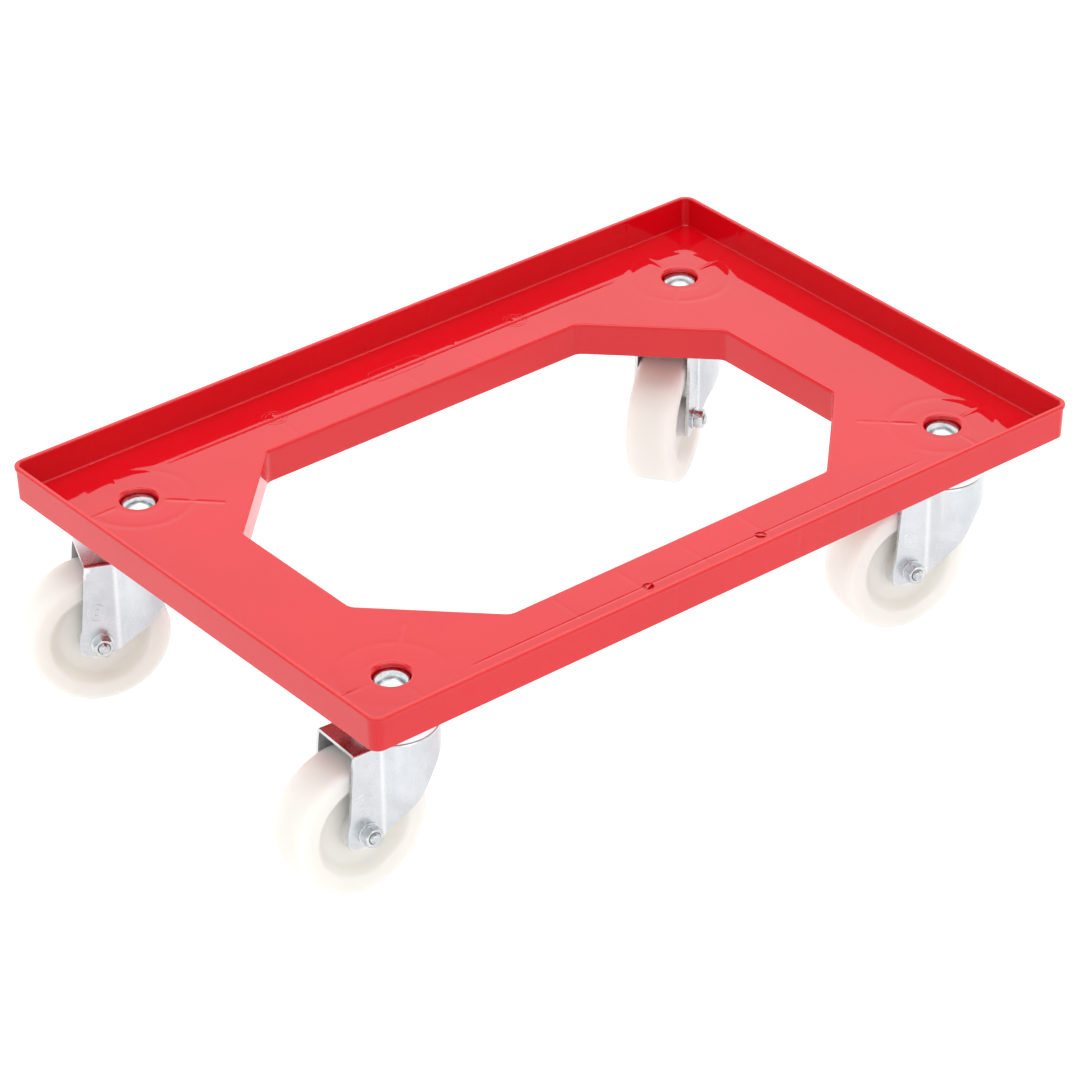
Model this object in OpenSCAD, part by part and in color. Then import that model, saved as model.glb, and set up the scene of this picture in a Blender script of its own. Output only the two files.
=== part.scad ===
// Platform trolley for stacking containers: a moulded tray with a large
// eight-sided opening, carried on four bolted swivel castors.
// Units are millimetres. The origin is on the floor under the middle of the
// tray, +X runs along the long side and +Z is up.

/* [Which piece] */
// Node to draw, or all of them

/* [Tray] */
// Length over the lip
tray_len = 610; // [600:1:640]
// Width over the lip
tray_wid = 410; // [400:1:430]
// Height of the rim's top above the floor
tray_top = 170; // [168:0.5:176]
// Depth of the container recess below the rim's top
recess_depth = 22.7; // [18:0.1:24]
// Height of the tray's outer wall
skirt_h = 26; // [25:0.1:28]
// Rim thickness at its top
rim_t = 3.4; // [2.5:0.1:4.5]
// Distance from the lip to the foot of the inner wall
rim_foot = 4.5; // [4:0.1:6]
// Corner radius of the lip
corner_r = 9.5; // [8:0.5:14]
// Height of the lip
lip_h = 3; // [2:0.1:5]
// How far the lip stands out from the wall under it
lip_out = 1; // [0.5:0.1:1.5]
// How far the wall's foot lies inside the lip
skirt_draft = 1.8; // [1.2:0.1:2.5]

/* [Opening] */
// Length of the opening
opening_len = 429.5; // [400:0.5:440]
// Width of the opening
opening_wid = 269.2; // [250:0.2:275]
// Leg of the opening's corner cuts
opening_cut = 75; // [60:1:80]
// Rounding of the eight upright corners
opening_r = 9; // [4:1:14]
// Height of the wall round the opening, from the rim's top down
opening_wall_h = 48; // [44:0.5:50]
// Thickness of that wall
opening_wall_t = 3.2; // [2.4:0.1:4]
// Thickness of the ribs under the tray
rib_t = 2.6; // [2:0.1:4]
// How far the ribs stop short of the outer skirt
rib_stop = 5; // [0:0.5:8]
// Distance of the lengthwise ribs from the middle
long_rib_y = 167; // [160:1:175]
// Radius of the ring rib round each castor post
ring_rib_r = 37; // [30:1:38]

/* [Castor places] */
// Distance of the castor axes from the middle along X
castor_x = 243.3; // [240:0.1:246]
// Distance of the castor axes from the middle along Y
castor_y = 141.3; // [138:0.1:144]
// Direction the front left wheel trails, degrees from +X
yaw_front_left = 176.7; // [0:0.05:360]
// Direction the front right wheel trails
yaw_front_right = 169.6; // [0:0.05:360]
// Direction the rear left wheel trails
yaw_rear_left = 157.2; // [0:0.05:360]
// Direction the rear right wheel trails
yaw_rear_right = 213.6; // [0:0.05:360]

/* [Bolts] */
// Diameter of the pockets for the bolt heads
pocket_d = 25.5; // [25:0.1:28]
// Depth of the pockets below the recess floor
pocket_depth = 10.8; // [10.5:0.1:12]
// Width of the slope round each pocket's mouth
mouth_slope = 1.8; // [0.5:0.1:2.5]
// Diameter of the castor bolts' round heads
head_d = 24; // [22:0.5:24.5]
// Thread diameter of the castor bolts
bolt_d = 12; // [12:1:12]
// Length of the castor bolts under the head
bolt_len = 45; // [43:1:46]

/* [Wheel] */
// Wheel diameter
wheel_d = 100; // [98:0.5:101]
// Tread width
wheel_w = 36; // [32:0.5:37]
// Radius of the tread's shoulders
shoulder_r = 5; // [2:0.5:7]
// Diameter of the dished faces
dish_d = 72; // [64:1:78]
// Depth of the dished faces
dish_depth = 7; // [3:0.5:9]
// Width of the slope round the dished faces
dish_slope = 6.5; // [1:0.5:9]
// Hub diameter
hub_d = 29; // [24:1:40]
// Distance of the axle behind the swivel axis
trail = 36; // [34:0.5:38]

/* [Fork] */
// Outside width across the legs
fork_w = 43; // [43:0.5:45]
// Sheet thickness
fork_t = 2.5; // [2.5:0.1:3]
// Height of the fork's top above the axle
fork_rise = 63; // [62.5:0.1:63.5]
// Radius of the round head
head_r = 31; // [30:0.5:31.5]
// Radius of the head's lower end, where the legs narrow
head_low_r = 28.4; // [27.5:0.1:29]
// Distance of the legs' upright crease from the swivel axis
crease_u = 23.6; // [23:0.1:24.5]

/* [Hidden] */
$fn = 96;
eps = 0.01;
clear = 0.05;

red = [0.84, 0.11, 0.13];
zinc = [0.80, 0.83, 0.86];
steel = [0.62, 0.63, 0.65];
nylon = [0.93, 0.91, 0.86];

tray_bottom = tray_top - skirt_h;
recess_floor = tray_top - recess_depth;
wall_bottom = tray_top - opening_wall_h;
long_rib_len = 410;
shallow_rib_h = 7;

axle_z = wheel_d / 2;
fork_top = axle_z + fork_rise;
fork_in = fork_w / 2 - fork_t;

// Swivel head: balls run in grooves of the fork's crown, above and below it.
groove = 0.8;
ball_top_r = 3;
ball_low_r = 2.5;
race_top_r = 19.5;
race_low_r = 15.5;
balls_top = 18;
balls_low = 16;
ball_top_z = fork_top - groove + ball_top_r;
ball_low_z = fork_top - fork_t + groove - ball_low_r;
cap_z = ball_top_z + ball_top_r - groove;
cap_t = 2.6;
cap_r = 30;
seat_r = 17;
cup_top = ball_low_z - ball_low_r + groove;
cup_t = 2.6;
cup_r = 19.5;
pin_r = 10;
pin_bore_r = bolt_d / 2 + 0.25;
flange_t = 1;
flange_r = 12.5;

pocket_floor = recess_floor - pocket_depth;
washer_t = 2.5;
head_z = pocket_floor + washer_t;
head_h = recess_floor - 0.3 - head_z;
dome_h = 3;
nut_h = 6;
nut_af = 19;
nut_top = cup_top - cup_t - flange_t;

axle_bolt_d = 8;
axle_hole_r = axle_bolt_d / 2 + 0.1;
axle_tube_r = 6;
axle_washer_t = 1.6;
axle_washer_r = 8;
axle_nut_h = 6.5;
axle_af = 13;
axle_head_h = 5.3;
axle_tip = 31.5;
hub_gap = 0.3;

// name, side along X, side along Y, yaw
corners = [
    ["front_left", -1, -1, yaw_front_left],
    ["front_right", 1, -1, yaw_front_right],
    ["rear_left", -1, 1, yaw_rear_left],
    ["rear_right", 1, 1, yaw_rear_right]
];

castor_pieces = [
    "fork", "wheel", "axle_tube", "axle_bolt", "axle_nut", "axle_washer",
    "swivel_cap", "upper_balls", "lower_balls", "lower_cup", "kingpin"
];

// ---------- helpers ----------

function unit(v) = v / norm(v);

// Points of one rounded corner at b, between a and c.
function corner_arc(a, b, c, r, n) =
    let (
        p = unit(a - b),
        q = unit(c - b),
        half = acos(p * q) / 2,
        mid = b + unit(p + q) * (r / sin(half)),
        start = b + p * (r / tan(half)),
        side = (p[0] * q[1] - p[1] * q[0]) > 0 ? -1 : 1,
        turn = side * (180 - 2 * half),
        arm = start - mid
    )
    [for (i = [0:n]) let (t = turn * i / n)
        mid + [arm[0] * cos(t) - arm[1] * sin(t), arm[0] * sin(t) + arm[1] * cos(t)]];

// A closed outline with a radius for each of its corners; 0 keeps it sharp.
function rounded(path, radii, n = 4) =
    let (m = len(path))
    [for (i = [0:m - 1])
        each radii[i] == 0
            ? [path[i]]
            : corner_arc(path[(i + m - 1) % m], path[i], path[(i + 1) % m], radii[i], n)];

// Rectangular block with rounded upright edges, standing on z.
module rounded_block(len, wid, r, z, h) {
    translate([0, 0, z])
    linear_extrude(h)
    union() {
        square([len - 2 * r, wid], center = true);
        square([len, wid - 2 * r], center = true);
        for (sx = [-1, 1], sy = [-1, 1])
            translate([sx * (len / 2 - r), sy * (wid / 2 - r)])
            circle(r);
    }
}

// Block with four sloping walls, from a lower to an upper rectangle.
module sloped_block(len0, wid0, z0, len1, wid1, z1) {
    big = 2 * max(len0, len1);
    intersection() {
        rotate([90, 0, 0])
        linear_extrude(big, center = true)
        polygon([[-len0 / 2, z0], [len0 / 2, z0], [len1 / 2, z1], [-len1 / 2, z1]]);
        rotate([90, 0, 90])
        linear_extrude(big, center = true)
        polygon([[-wid0 / 2, z0], [wid0 / 2, z0], [wid1 / 2, z1], [-wid1 / 2, z1]]);
    }
}

module tube(r_out, r_in, h) {
    difference() {
        cylinder(r = r_out, h = h);
        translate([0, 0, -1])
        cylinder(r = r_in, h = h + 2);
    }
}

module hex(af, h) {
    cylinder(r = af / sqrt(3), h = h, $fn = 6);
}

// Hexagonal bolt head or nut blank whose outer corners are turned off.
module turned_hex(af, h) {
    r = af / sqrt(3);
    intersection() {
        hex(af, h);
        cylinder(r1 = r + h, r2 = af / 2 - 0.1, h = h + 0.9);
    }
}

// Round bolt head whose top is a low dome.
module domed_head(r, h, dome) {
    dome_r = (r * r + dome * dome) / (2 * dome);
    intersection() {
        cylinder(r = r, h = h + 1);
        translate([0, 0, h - dome_r])
        sphere(dome_r);
    }
}

// Round shank with a chamfered end, pointing down from z = 0.
module shank(d, length) {
    translate([0, 0, -length + 1])
    cylinder(r = d / 2, h = length - 1);
    translate([0, 0, -length])
    cylinder(r1 = d / 2 - 1, r2 = d / 2, h = 1);
}

module ball_ring(count, ring_r, r, z) {
    for (i = [0:count - 1])
        rotate([0, 0, 360 * i / count])
        translate([ring_r, 0, z])
        sphere(r);
}

module ball_groove(ring_r, r, z) {
    translate([0, 0, z])
    rotate_extrude()
    translate([ring_r, 0])
    circle(r + clear);
}

module at_corner(c) {
    translate([c[1] * castor_x, c[2] * castor_y, 0])
    children();
}

module at_castor(c) {
    at_corner(c)
    rotate([0, 0, c[3]])
    children();
}

// Puts a shape drawn along Z on the axle, with +Z along the castor's +Y.
module on_axle() {
    translate([trail, 0, axle_z])
    rotate([-90, 0, 0])
    children();
}

// ---------- tray ----------

function opening_path(grow) =
    let (
        x = opening_len / 2 + grow,
        y = opening_wid / 2 + grow,
        c = opening_cut + grow * (2 - sqrt(2))
    )
    [[x, -y + c], [x, y - c], [x - c, y], [-x + c, y],
     [-x, y - c], [-x, -y + c], [-x + c, -y], [x - c, -y]];

module opening_prism(grow, z, h) {
    r = opening_r + grow;
    translate([0, 0, z])
    linear_extrude(h)
    polygon(rounded(opening_path(grow), [for (i = [0:7]) r]));
}

module tray_shell() {
    difference() {
        union() {
            rounded_block(tray_len, tray_wid, corner_r, tray_top - lip_h, lip_h);
            intersection() {
                rounded_block(tray_len - 2 * lip_out, tray_wid - 2 * lip_out,
                    corner_r - lip_out, tray_bottom, skirt_h - lip_h + eps);
                sloped_block(tray_len - 2 * skirt_draft, tray_wid - 2 * skirt_draft, tray_bottom,
                    tray_len - 2 * lip_out, tray_wid - 2 * lip_out, tray_top - lip_h + eps);
            }
        }
        intersection() {
            rounded_block(tray_len - 2 * rim_t, tray_wid - 2 * rim_t,
                corner_r - rim_t + 1, recess_floor, recess_depth + 1);
            sloped_block(tray_len - 2 * rim_foot, tray_wid - 2 * rim_foot, recess_floor,
                tray_len - 2 * rim_t, tray_wid - 2 * rim_t, tray_top + 1);
        }
    }
}

// Upright rib that is deep at the opening and shallow at the outer wall.
module rib(length) {
    deep = tray_bottom - wall_bottom - 1;
    rotate([90, 0, 0])
    linear_extrude(rib_t, center = true)
    polygon([[0, -deep], [length, -1.5], [length, eps], [0, eps]]);
}

module ribs() {
    long_gap = (tray_wid - opening_wid) / 2 - opening_wall_t - skirt_draft - rib_stop;
    short_gap = (tray_len - opening_len) / 2 - opening_wall_t - skirt_draft - rib_stop;
    for (side = [0, 180], i = [-2:2])
        rotate([0, 0, side])
        translate([i * 54, opening_wid / 2 + opening_wall_t - 1, tray_bottom])
        rotate([0, 0, 90])
        rib(long_gap);
    for (side = [0, 180], i = [-1:1])
        rotate([0, 0, side])
        translate([opening_len / 2 + opening_wall_t - 1, i * 46, tray_bottom])
        rib(short_gap);
    for (side = [-1, 1])
        translate([-long_rib_len / 2, side * long_rib_y - rib_t / 2, tray_bottom - shallow_rib_h])
        cube([long_rib_len, rib_t, shallow_rib_h + eps]);
}

// Post for one castor bolt, tied to the opening's cut corner and outer walls.
module castor_post(c) {
    web = tray_bottom - wall_bottom - 1;
    at_corner(c)
    mirror([c[1] < 0 ? 1 : 0, 0, 0])
    mirror([0, c[2] < 0 ? 1 : 0, 0]) {
        translate([0, 0, wall_bottom])
        cylinder(r = pocket_d / 2 + 5, h = recess_floor - wall_bottom - 1);
        translate([0, 0, tray_bottom - shallow_rib_h])
        tube(ring_rib_r + rib_t / 2, ring_rib_r - rib_t / 2, shallow_rib_h + eps);
        rotate([0, 0, 225])
        translate([0, -rib_t / 2, tray_bottom - web])
        cube([38, rib_t, web]);
        for (turn = [0, 90])
            rotate([0, 0, turn])
            translate([pocket_d / 2 + 4, 0, tray_bottom])
            rib((turn == 0 ? 42 : 45) - rib_stop);
    }
}

module castor_pocket(c) {
    at_corner(c) {
        translate([0, 0, pocket_floor])
        cylinder(r = pocket_d / 2, h = pocket_depth + 1);
        translate([0, 0, recess_floor - mouth_slope])
        cylinder(r1 = pocket_d / 2, r2 = pocket_d / 2 + mouth_slope + 1, h = mouth_slope + 1);
        translate([0, 0, wall_bottom - 1])
        cylinder(r = bolt_d / 2 + 0.25, h = pocket_floor - wall_bottom + 2);
    }
}

// Shallow round mark with a bar left standing across it.
module round_mark(x, turn) {
    translate([x, -168, recess_floor - 1])
    rotate([0, 0, turn])
    difference() {
        cylinder(r = 4, h = 2);
        translate([-5, -0.8, -1])
        cube([10, 1.6, 2 - 0.1]);
    }
}

module tray() {
    color(red)
    difference() {
        union() {
            tray_shell();
            opening_prism(opening_wall_t, wall_bottom, recess_floor - wall_bottom - 1);
            ribs();
            for (c = corners) castor_post(c);
        }
        opening_prism(0, wall_bottom - 1, opening_wall_h + 2);
        for (c = corners) castor_pocket(c);
        round_mark(-49.6, 25);
        round_mark(49.6, -50);
    }
}

// ---------- fasteners of the tray ----------

module castor_bolts() {
    color(steel)
    for (c = corners)
        at_corner(c)
        translate([0, 0, head_z]) {
            domed_head(head_d / 2, head_h, dome_h);
            shank(bolt_d, bolt_len);
        }
}

module castor_bolt_washers() {
    color(zinc)
    for (c = corners)
        at_corner(c)
        translate([0, 0, pocket_floor])
        tube(12, bolt_d / 2 + 0.5, washer_t);
}

module castor_bolt_nuts() {
    color(steel)
    for (c = corners)
        at_corner(c)
        translate([0, 0, nut_top - nut_h])
        difference() {
            turned_hex(nut_af, nut_h);
            translate([0, 0, -1])
            cylinder(r = bolt_d / 2 + 0.01, h = nut_h + 2);
        }
}

// ---------- swivel head ----------

module swivel_cap() {
    color(zinc)
    difference() {
        union() {
            translate([0, 0, cap_z])
            cylinder(r = cap_r, h = cap_t);
            translate([0, 0, cap_z])
            cylinder(r = seat_r, h = wall_bottom - cap_z);
            translate([0, 0, fork_top + 0.6])
            tube(cap_r, cap_r - 1.8, cap_z + 1 - fork_top - 0.6);
        }
        translate([0, 0, fork_top])
        cylinder(r = pin_r, h = 30);
        ball_groove(race_top_r, ball_top_r, ball_top_z);
    }
}

module upper_balls() {
    color(steel)
    ball_ring(balls_top, race_top_r, ball_top_r, ball_top_z);
}

module lower_balls() {
    color(steel)
    ball_ring(balls_low, race_low_r, ball_low_r, ball_low_z);
}

module lower_cup() {
    color(zinc)
    difference() {
        translate([0, 0, cup_top - cup_t])
        cylinder(r = cup_r, h = cup_t);
        translate([0, 0, cup_top - cup_t - 1])
        cylinder(r = pin_r, h = cup_t + 2);
        ball_groove(race_low_r, ball_low_r, ball_low_z);
    }
}

// Hollow rivet that holds cap and cup together and takes the castor bolt.
module kingpin() {
    color(steel)
    difference() {
        union() {
            translate([0, 0, nut_top])
            cylinder(r = flange_r, h = flange_t);
            translate([0, 0, nut_top])
            cylinder(r = pin_r, h = wall_bottom - nut_top);
        }
        translate([0, 0, nut_top - 1])
        cylinder(r = pin_bore_r, h = wall_bottom - nut_top + 2);
    }
}

// ---------- fork ----------

// Side view of the fork: distance behind the swivel axis and height over the axle.
fork_side = [
    [44.5, fork_rise], [45.4, 57.5], [49.0, 12.5], [51.2, 6.5], [51.4, -8.6],
    [37, -10.4], [24.2, -8.6], [9.2, 9.8], [-1.2, 20.2], [-5.2, 25.5],
    [-9.5, 32.5], [-18.5, 40.2], [-32, 52], [-32, fork_rise]
];
fork_side_r = [0, 8, 8, 8, 2.5, 24, 6, 12, 12, 12, 12, 20, 0, 0];

// Space taken by the fork's outer faces (inset 0) or bounded by its inner faces.
module fork_envelope(inset, top) {
    half = fork_w / 2 - inset;
    low_z = axle_z + 4;
    mid_z = axle_z + 22;
    translate([crease_u - 1, -half, 20])
    cube([60, 2 * half, top - 20]);
    hull() {
        translate([0, 0, mid_z])
        cylinder(r = head_r - inset, h = top - mid_z, $fn = 64);
        translate([0, 0, 20])
        cylinder(r = head_low_r - inset, h = low_z - 20, $fn = 64);
        translate([crease_u - 1 - inset * 0.2, -half, 20])
        cube([1, 2 * half, top - 20]);
    }
}

module fork() {
    color(zinc)
    difference() {
        intersection() {
            fork_envelope(0, fork_top);
            translate([0, 0, axle_z])
            rotate([90, 0, 0])
            linear_extrude(2 * head_r + 10, center = true)
            polygon(rounded(fork_side, fork_side_r));
        }
        fork_envelope(fork_t, fork_top - fork_t);
        on_axle()
        translate([0, 0, -fork_w])
        cylinder(r = axle_hole_r, h = 2 * fork_w);
        cylinder(r = pin_r + clear, h = fork_top + 10);
        ball_groove(race_top_r, ball_top_r, ball_top_z);
        ball_groove(race_low_r, ball_low_r, ball_low_z);
    }
}

// ---------- wheel and axle ----------

module wheel_profile() {
    r = wheel_d / 2;
    half = wheel_w / 2;
    hub_half = fork_in - hub_gap;
    dish_r = dish_d / 2;
    difference() {
        union() {
            translate([dish_r - dish_slope, -half])
            square([r - shoulder_r - dish_r + dish_slope, wheel_w]);
            translate([r - shoulder_r, -half + shoulder_r])
            square([shoulder_r, wheel_w - 2 * shoulder_r]);
            for (s = [-1, 1])
                translate([r - shoulder_r, s * (half - shoulder_r)])
                circle(shoulder_r);
            translate([0, -hub_half])
            square([hub_d / 2, 2 * hub_half]);
            translate([0, -half + dish_depth])
            square([dish_r, wheel_w - 2 * dish_depth]);
        }
        for (s = [-1, 1])
            polygon([[dish_r, s * (half + 1)], [hub_d / 2, s * (half + 1)],
                [hub_d / 2, s * (half - dish_depth)], [dish_r - dish_slope, s * (half - dish_depth)]]);
        translate([0, -hub_half - 1])
        square([axle_tube_r + clear, 2 * hub_half + 2]);
    }
}

module wheel() {
    color(nylon)
    on_axle()
    rotate_extrude()
    wheel_profile();
}

module axle_tube() {
    color(steel)
    on_axle()
    translate([0, 0, -fork_in])
    tube(axle_tube_r, axle_hole_r, 2 * fork_in);
}

module axle_bolt() {
    color(steel)
    on_axle() {
        translate([0, 0, -fork_w / 2])
        mirror([0, 0, 1])
        turned_hex(axle_af, axle_head_h);
        translate([0, 0, -fork_w / 2])
        mirror([0, 0, 1])
        shank(axle_bolt_d, axle_tip + fork_w / 2);
    }
}

module axle_washer() {
    color(zinc)
    on_axle()
    translate([0, 0, fork_w / 2])
    tube(axle_washer_r, axle_hole_r + 0.1, axle_washer_t);
}

module axle_nut() {
    color(steel)
    on_axle()
    translate([0, 0, fork_w / 2 + axle_washer_t])
    rotate([0, 0, 12])
    difference() {
        turned_hex(axle_af, axle_nut_h);
        translate([0, 0, -1])
        cylinder(r = axle_bolt_d / 2 + 0.01, h = axle_nut_h + 2);
    }
}

// ---------- the whole trolley ----------

tray();
castor_bolts();
castor_bolt_washers();
castor_bolt_nuts();

for (c = corners) {
    at_castor(c) fork();
    at_castor(c) wheel();
    at_castor(c) axle_tube();
    at_castor(c) axle_bolt();
    at_castor(c) axle_nut();
    at_castor(c) axle_washer();
    at_castor(c) swivel_cap();
    at_castor(c) upper_balls();
    at_castor(c) lower_balls();
    at_castor(c) lower_cup();
    at_castor(c) kingpin();
}
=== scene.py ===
"""Looks of the platform trolley: a glossy red tray on four zinc-plated swivel castors."""

import math

import bmesh
import bpy
from mathutils import Euler, Matrix, Vector


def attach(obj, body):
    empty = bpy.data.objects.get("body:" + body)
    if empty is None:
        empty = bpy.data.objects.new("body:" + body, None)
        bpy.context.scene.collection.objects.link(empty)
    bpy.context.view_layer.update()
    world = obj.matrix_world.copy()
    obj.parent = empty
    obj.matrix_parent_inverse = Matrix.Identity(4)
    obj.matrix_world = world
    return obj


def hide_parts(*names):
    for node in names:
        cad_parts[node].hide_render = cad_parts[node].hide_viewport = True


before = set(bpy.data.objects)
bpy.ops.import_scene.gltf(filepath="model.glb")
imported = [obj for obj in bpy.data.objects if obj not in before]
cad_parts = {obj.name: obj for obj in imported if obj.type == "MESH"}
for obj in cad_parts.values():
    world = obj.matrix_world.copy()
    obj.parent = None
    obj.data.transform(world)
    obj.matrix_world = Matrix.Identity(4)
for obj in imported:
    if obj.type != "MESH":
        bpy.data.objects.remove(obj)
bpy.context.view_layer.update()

MM = 0.001

# Tray, in millimetres, as in the CAD
TRAY_HALF = (305.0, 205.0)
CORNER_R = 9.5
RIM_TOP = 170.0
RIM_TOP_INSET = 3.6
RIM_FOOT_INSET = 4.5
LIP_BOTTOM = 167.1
FLOOR_Z = 147.3
SKIRT_BOTTOM = 144.0
SKIRT_INSET = 1.78
WALL_BOTTOM = 122.0
WALL_T = 3.2
OPENING_HALF = (214.75, 134.6)
OPENING_CUT = 75.0
OPENING_R = 9.0
CASTOR_X = 243.3
CASTOR_Y = 141.3
POST_R = 17.75
POCKET_R = 12.75
POCKET_FLOOR = 136.5
MOUTH_R = 2.2
BOLT_HOLE_R = 6.25
MARK_X = 49.6
MARK_Y = -168.0
STAMP_X = 108.5
STAMP_Y = 168.8

# Ribs under the deck; the post's ribs reach the skirt and its web points at the opening
RIB_STOP = 5.0
RIB_HALF = 1.3
RIB_BLUNT = 0.4
RIB_GAP_ALONG = 54.0
RIB_GAP_ACROSS = 46.0
RIB_ROOT = 0.5
LONG_RIB_Y = 167.0
LONG_RIB_HALF = 205.0
RING_RIB_R = 37.0
SHALLOW_RIB = 7.0
POST_TO_SKIRT = (42.0, 45.0)
WEB_MIDDLE = 27.0
WEB_Z = 133.8
WEB_HALF = (11.5, RIB_HALF, 10.8)

# Castor, in millimetres, in its own frame: u trails the swivel axis, v points to the nut
AXLE_Z = 50.0
TRAIL = 36.0
FORK_TOP = 113.0
FORK_HALF = 21.5
FORK_T = 2.5
FORK_BEND = 2.6
FORK_FRONT = 44.5
HEAD_R = 31.0
HEAD_LOW_R = 28.4
HEAD_CREASE = (14.5, 27.4)
CREASE_U = 23.6
CREASE_LOW = 43.0
FORK_HOLE_R = 10.05
LEG_MARK = (38.2, 75.0)
LEG_MARK_RADII = (6.3, 2.4)
CAP_R = 30.3
CAP_TOP = 120.0
CAP_BORE_R = 10.1
WHEEL_R = 50.0
WHEEL_HALF = 18.0
SHOULDER_R = 5.0
DISH = 11.0
HUB_END = 18.7
WHEEL_BORE_R = 6.05

# Fasteners, in millimetres, with angles in degrees
BOLT_R = 6.0
BOLT_HEAD_R = 12.0
BOLT_HEAD_H = 5.0
BOLT_DOME = 3.0
BOLT_PITCH = 1.75
HEAD_Z = 139.0
THREAD_TOP = 110.0
BOLT_TIP = 94.0
AXLE_R = 4.0
AXLE_PITCH = 1.25
AXLE_TIP = 31.5
THREAD_START = 18.0
AXLE_AF = 13.0
AXLE_HEAD_H = 5.3
NUT_H = 6.5
NUT_TURN = 12
WASHER_R = 8.0
WASHER_T = 1.6
CHAMFER_ANGLE = 28

# Each castor's side along X and Y, and its turn in degrees
CORNERS = {
    "front_left": (-1, -1, 176.7),
    "front_right": (1, -1, 169.6),
    "rear_left": (-1, 1, 157.2),
    "rear_right": (1, 1, 213.6),
}
QUARTERS = ((-1, -1), (-1, 1), (1, -1), (1, 1))

# The same, counter-clockwise, with the angle at which each quarter's corner starts
ROUND_QUARTERS = ((1, 1, 0), (-1, 1, 90), (-1, -1, 180), (1, -1, 270))


# ---------------------------------------------------------------- points


def lerp(a, b, t):
    return a + (b - a) * t


def lerp_points(a, b, t):
    return tuple(lerp(p, q, t) for p, q in zip(a, b))


def turned(x, y, degrees):
    """The point turned about the origin."""
    c = math.cos(math.radians(degrees))
    s = math.sin(math.radians(degrees))
    return (x * c - y * s, x * s + y * c)


def arc(cx, cy, r, a0, a1, n):
    """Points of an arc from angle a0 to a1, in degrees."""
    out = []
    for i in range(n + 1):
        a = math.radians(a0 + (a1 - a0) * i / n)
        out.append((cx + r * math.cos(a), cy + r * math.sin(a)))
    return out


def circle_loop(x, y, r, z, n=48):
    out = []
    for i in range(n):
        a = 2 * math.pi * i / n
        out.append((x + r * math.cos(a), y + r * math.sin(a), z))
    return out


def rounded_rectangle(hx, hy, r, z, n=8):
    """Closed loop, counter-clockwise seen from above, from the +X +Y corner."""
    points = []
    for sx, sy, start in ROUND_QUARTERS:
        points += arc(sx * (hx - r), sy * (hy - r), r, start, start + 90, n)
    return [(x, y, z) for x, y in points]


def sample(path, t):
    """Point at a share t of a polyline's length."""
    left = t * sum(math.dist(a, b) for a, b in zip(path, path[1:]))
    for a, b in zip(path, path[1:]):
        step = math.dist(a, b)
        if left <= step:
            return lerp_points(a, b, left / step)
        left -= step
    return path[-1]


# ---------------------------------------------------------------- mesh helpers


class Builder:
    """Collects vertices in millimetres and turns them into one smooth mesh object."""

    def __init__(self):
        self.bm = bmesh.new()

    def loop(self, points):
        return [self.bm.verts.new(Vector(p) * MM) for p in points]

    def face(self, verts):
        unique = list(dict.fromkeys(verts))
        if len(unique) >= 3:
            self.bm.faces.new(unique)

    def bridge(self, a, b, closed=True):
        """Quads between two rings, or two open lines, of equal count."""
        n = len(a)
        last = n if closed else n - 1
        for i in range(last):
            j = (i + 1) % n
            self.face([a[i], a[j], b[j], b[i]])

    def skin(self, rings, closed=True):
        """Joins each ring to the next."""
        for a, b in zip(rings, rings[1:]):
            self.bridge(a, b, closed)

    def solid(self, rings):
        """Joins the rings and closes both ends."""
        self.skin(rings)
        self.face(rings[0])
        self.face(rings[-1])

    def fan(self, ring, centre):
        c = self.bm.verts.new(Vector(centre) * MM)
        n = len(ring)
        for i in range(n):
            self.bm.faces.new([ring[i], ring[(i + 1) % n], c])

    def fill(self, outer, holes):
        """Flat region between one outer loop and its holes, which share its height."""
        edges = []
        for ring in [outer, *holes]:
            n = len(ring)
            for i in range(n):
                pair = (ring[i], ring[(i + 1) % n])
                edges.append(self.bm.edges.get(pair) or self.bm.edges.new(pair))
        bmesh.ops.triangle_fill(self.bm, use_beauty=True, use_dissolve=False, edges=edges)

    def lathe(self, profile, sides, centre=(0, 0)):
        """Turns (radius, z) pairs about an upright axis and returns the rings."""
        rings = [self.loop(circle_loop(*centre, r, z, sides)) for r, z in profile]
        self.skin(rings)
        return rings

    def rod(self, r, z0, z1):
        rings = self.lathe([(r, z0), (r, z1)], 48)
        self.face(rings[0])
        self.face(rings[1])

    def object(self, name, matrix=None, outward=True):
        bmesh.ops.remove_doubles(self.bm, verts=self.bm.verts, dist=1e-7)
        if outward:
            bmesh.ops.recalc_face_normals(self.bm, faces=self.bm.faces)
        mesh = bpy.data.meshes.new(name)
        self.bm.to_mesh(mesh)
        self.bm.free()
        if matrix is not None:
            mesh.transform(matrix)
        return smooth_object(name, mesh)


def smooth_object(name, mesh):
    for p in mesh.polygons:
        p.use_smooth = True
    ob = bpy.data.objects.new(name, mesh)
    bpy.context.scene.collection.objects.link(ob)
    return ob


def weighted_normals(ob):
    mod = ob.modifiers.new("normals", "WEIGHTED_NORMAL")
    mod.mode = "FACE_AREA"
    mod.weight = 60
    mod.keep_sharp = True


def join(objects, name):
    """Replaces the objects by one smooth object with all their meshes."""
    bm = bmesh.new()
    for ob in objects:
        bm.from_mesh(ob.data)
    mesh = bpy.data.meshes.new(name)
    bm.to_mesh(mesh)
    bm.free()
    for ob in objects:
        bpy.data.objects.remove(ob)
    made = smooth_object(name, mesh)
    weighted_normals(made)
    return made


def shift(x, y, z):
    """Matrix that moves by millimetres."""
    return Matrix.Translation(Vector((x, y, z)) * MM)


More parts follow.
